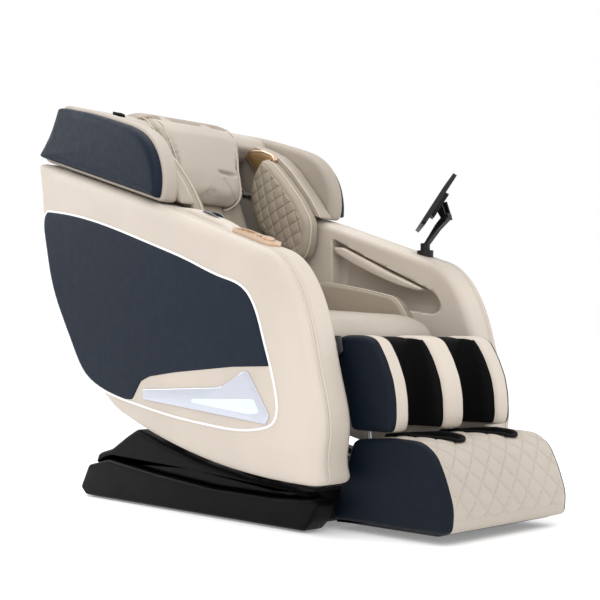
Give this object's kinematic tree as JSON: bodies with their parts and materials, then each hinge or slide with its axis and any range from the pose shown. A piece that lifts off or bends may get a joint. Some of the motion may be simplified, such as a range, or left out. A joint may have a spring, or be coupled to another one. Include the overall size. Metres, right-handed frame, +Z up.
{
  "type": "massage chair",
  "caption": "Full-body reclining massage chair: padded shell body that slides and tilts on a floor base, lifting leg rest, foot rest, shoulder hood.",
  "frame": {"origin": "on the floor under the middle of the base, in the plane of the four rubber feet", "axes": "+Z up, -Y the way the sitter faces, +X the sitter's left"},
  "size_m": [0.8227, 1.536, 1.199],
  "materials": {
    "frame_steel": "satin black powder coat",
    "bright_steel": "ground and plated",
    "skirt_gloss": "glossy black, fine moulded texture",
    "black_plastic": "fine spark-eroded matte",
    "motor_grey": "semi-matte",
    "rubber_black": "matte",
    "beige_leather": "fine-grained synthetic leather, satin",
    "taupe_leather": "fine-grained synthetic leather, quilted",
    "navy_leather": "fine-grained synthetic leather, satin",
    "black_fabric": "close-woven lining",
    "white_piping": "soft satin",
    "silver_trim": "satin silver",
    "cool_lens": "frosted diffuser",
    "rose_gold": "rose gold metallic"
  },
  "bodies": {
    "base": {"base_frame": "frame_steel", "slide_rails": "bright_steel", "base_skirt_left": "skirt_gloss", "base_skirt_right": "skirt_gloss", "base_covers": "black_plastic", "rubber_feet": "rubber_black", "power_box": "black_plastic", "slide_motor": "motor_grey", "wheel_brackets": "frame_steel"},
    "power_rocker": {"power_switch": "black_plastic"},
    "wheels": {"transport_wheels": "rubber_black"},
    "carriage": {"slide_carriage": "frame_steel", "carriage_glides": "black_plastic", "slide_rod": "bright_steel"},
    "tilt_drive": {"tilt_motor": "motor_grey"},
    "tilt_ram": {"tilt_rod": "bright_steel"},
    "body": {"main_frame": "frame_steel", "massage_rails": "bright_steel", "leg_motor": "motor_grey", "air_pump": "black_plastic", "control_box": "black_plastic", "rear_shell": "beige_leather", "seat_cushion": "taupe_leather", "back_cushion": "taupe_leather", "side_shell_left": "beige_leather", "side_shell_right": "beige_leather", "side_inlays": "navy_leather", "side_piping": "white_piping", "side_trims": "silver_trim", "light_lenses": "cool_lens", "arm_panel_left": "beige_leather", "arm_panel_right": "beige_leather", "arm_flaps": "beige_leather", "hip_pads": "taupe_leather", "wing_shell_left": "navy_leather", "wing_shell_right": "navy_leather", "wing_panel_left": "beige_leather", "wing_panel_right": "beige_leather", "shoulder_bolsters": "beige_leather", "shoulder_pad_left": "taupe_leather", "shoulder_pad_right": "taupe_leather", "speakers": "rose_gold", "control_bezel": "rose_gold", "tablet_post": "black_plastic"},
    "pillow": {"head_pillow": "beige_leather"},
    "trolley": {"massage_trolley": "frame_steel"},
    "rollers": {"kneading_rollers": "black_plastic"},
    "calf": {"calf_cushion": "beige_leather", "calf_lining": "black_fabric", "calf_frame": "frame_steel", "calf_shaft": "bright_steel"},
    "foot": {"foot_shell": "beige_leather", "foot_lining": "black_fabric", "foot_sole": "black_plastic", "foot_slides": "bright_steel"},
    "sole_rollers": {"foot_rollers": "black_plastic"},
    "tablet_arm": {"tablet_arm": "black_plastic"},
    "tablet": {"tablet": "black_plastic"},
    "knob": {"control_knob": "rose_gold"},
    "button": {"pause_button": "rose_gold"}
  },
  "joints": [
    {"name": "body_slide", "type": "slide", "parent": "base", "child": "carriage", "axis": [0, -1, 0], "range_m": [0, 0.12]},
    {"name": "body_tilt", "type": "hinge", "parent": "carriage", "child": "body", "pos_m": [0, 0.2, 0.3], "axis": [-1, 0, 0], "range_deg": [0, 25]},
    {"name": "tilt_drive_swing", "type": "hinge", "parent": "carriage", "child": "tilt_drive", "pos_m": [0, -0.07, 0.152], "axis": [-1, 0, 0], "range_deg": [-12, 12]},
    {"name": "tilt_ram_stroke", "type": "slide", "parent": "tilt_drive", "child": "tilt_ram", "axis": [0, 0.1339, 0.991], "range_m": [0, 0.112]},
    {"name": "calf_lift", "type": "hinge", "parent": "body", "child": "calf", "pos_m": [0, -0.5, 0.455], "axis": [-1, 0, 0], "range_deg": [0, 80]},
    {"name": "foot_extend", "type": "slide", "parent": "calf", "child": "foot", "axis": [0, -0.2676, -0.9635], "range_m": [0, 0.1]},
    {"name": "sole_roller_spin", "type": "hinge", "parent": "foot", "child": "sole_rollers", "pos_m": [0, -0.64, 0.072], "axis": [1, 0, 0], "continuous": true},
    {"name": "pillow_flip", "type": "hinge", "parent": "body", "child": "pillow", "pos_m": [0, 0.438, 1.191], "axis": [-1, 0, 0], "range_deg": [0, 120]},
    {"name": "trolley_travel", "type": "slide", "parent": "body", "child": "trolley", "axis": [0, 0.4067, 0.9135], "range_m": [0, 0.42]},
    {"name": "kneading_spin", "type": "hinge", "parent": "trolley", "child": "rollers", "pos_m": [0, 0.32229, 0.58154], "axis": [1, 0, 0], "continuous": true},
    {"name": "tablet_swivel", "type": "hinge", "parent": "body", "child": "tablet_arm", "pos_m": [0.33, -0.306, 0.75], "axis": [0, 0, 1], "range_deg": [-40, 40]},
    {"name": "tablet_tilt", "type": "hinge", "parent": "tablet_arm", "child": "tablet", "pos_m": [0.33, -0.388, 0.826], "axis": [1, 0, 0], "range_deg": [-20, 20]},
    {"name": "knob_turn", "type": "hinge", "parent": "body", "child": "knob", "pos_m": [-0.31, -0.32086, 0.71428], "axis": [0, -0.3176, 0.9482], "range_deg": [-150, 150]},
    {"name": "pause_press", "type": "slide", "parent": "body", "child": "button", "axis": [0, 0.3176, -0.9482], "range_m": [0, 0.0025], "stiffness_N_per_m": 400},
    {"name": "power_rocker_flip", "type": "hinge", "parent": "base", "child": "power_rocker", "pos_m": [0.139, 0.46, 0.08], "axis": [1, 0, 0], "range_deg": [0, 12]},
    {"name": "wheel_spin", "type": "hinge", "parent": "base", "child": "wheels", "pos_m": [0, 0.355, 0.036], "axis": [1, 0, 0], "continuous": true}
  ],
  "couplings": [
    {"joint": "tilt_drive_swing", "follows": "body_tilt", "ratio": 0.26675},
    {"joint": "tilt_ram_stroke", "follows": "body_tilt", "m_per_rad": 0.2399},
    {"joint": "foot_extend", "follows": "calf_lift", "m_per_rad": 0.07117}
  ]
}
